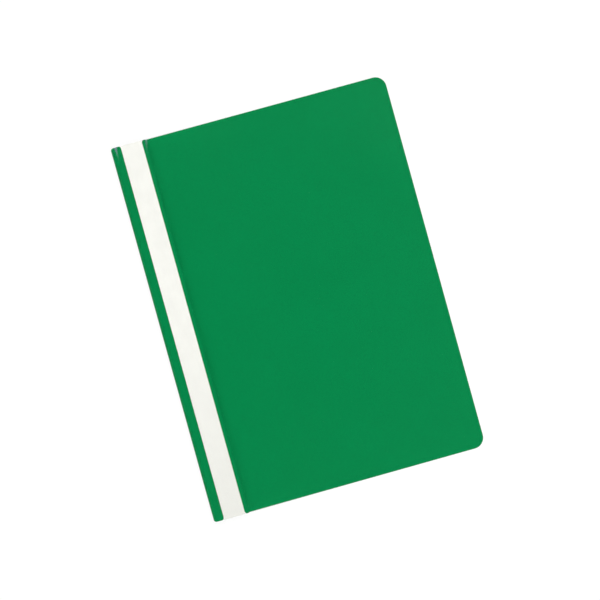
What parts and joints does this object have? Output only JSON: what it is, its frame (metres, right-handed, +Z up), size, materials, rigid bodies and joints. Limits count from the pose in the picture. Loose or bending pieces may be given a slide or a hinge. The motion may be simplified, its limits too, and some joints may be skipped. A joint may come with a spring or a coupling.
{
  "type": "flat report file",
  "caption": "Flat A4 report file: green back cover, clear front leaf, pull-out title strip along the spine, and a prong fastener with bar and sliding catches.",
  "frame": {"origin": "middle of the underside of the closed file, where the back cover lies on the table", "axes": "+X from the spine to the free edge, +Y towards the top of a filed sheet, +Z up out of the front cover"},
  "size_m": [0.227, 0.31, 0.005],
  "materials": {
    "green_polypropylene": "satin",
    "clear_polypropylene": "gloss",
    "title_paper": "matte",
    "tinned_steel": "satin"
  },
  "bodies": {
    "back": {"back_cover": "green_polypropylene", "fastener_flap": "green_polypropylene", "fastener_base": "tinned_steel", "compressor_bar": "tinned_steel"},
    "label_section": {"spine_band": "green_polypropylene", "label_section_film": "clear_polypropylene"},
    "front_leaf": {"front_cover": "clear_polypropylene"},
    "title_strip": {"title_label": "title_paper"},
    "prong_upper": {"prong_upper": "tinned_steel"},
    "prong_lower": {"prong_lower": "tinned_steel"},
    "catch_upper": {"catch_upper": "tinned_steel"},
    "catch_lower": {"catch_lower": "tinned_steel"}
  },
  "joints": [
    {"name": "spine_fold", "type": "hinge", "parent": "back", "child": "label_section", "pos_m": [-0.1135, 0, 0.00252], "axis": [0, -1, 0], "range_deg": [0, 178]},
    {"name": "crease_fold", "type": "hinge", "parent": "label_section", "child": "front_leaf", "pos_m": [-0.08465, 0, 0.0052], "axis": [0, -1, 0], "range_deg": [0, 178]},
    {"name": "title_strip_slide", "type": "slide", "parent": "label_section", "child": "title_strip", "axis": [0, 1, 0], "range_m": [0, 0.3]},
    {"name": "prong_upper_bend", "type": "hinge", "parent": "back", "child": "prong_upper", "pos_m": [-0.0955, 0.04, 0.0026], "axis": [-1, 0, 0], "range_deg": [0, 90]},
    {"name": "prong_lower_bend", "type": "hinge", "parent": "back", "child": "prong_lower", "pos_m": [-0.0955, -0.04, 0.0026], "axis": [1, 0, 0], "range_deg": [0, 90]},
    {"name": "catch_upper_slide", "type": "slide", "parent": "back", "child": "catch_upper", "axis": [0, 1, 0], "range_m": [0, 0.008]},
    {"name": "catch_lower_slide", "type": "slide", "parent": "back", "child": "catch_lower", "axis": [0, -1, 0], "range_m": [0, 0.008]}
  ],
  "couplings": [
    {"joint": "prong_upper_bend", "follows": "spine_fold", "ratio": 0.5},
    {"joint": "prong_lower_bend", "follows": "spine_fold", "ratio": 0.5}
  ]
}
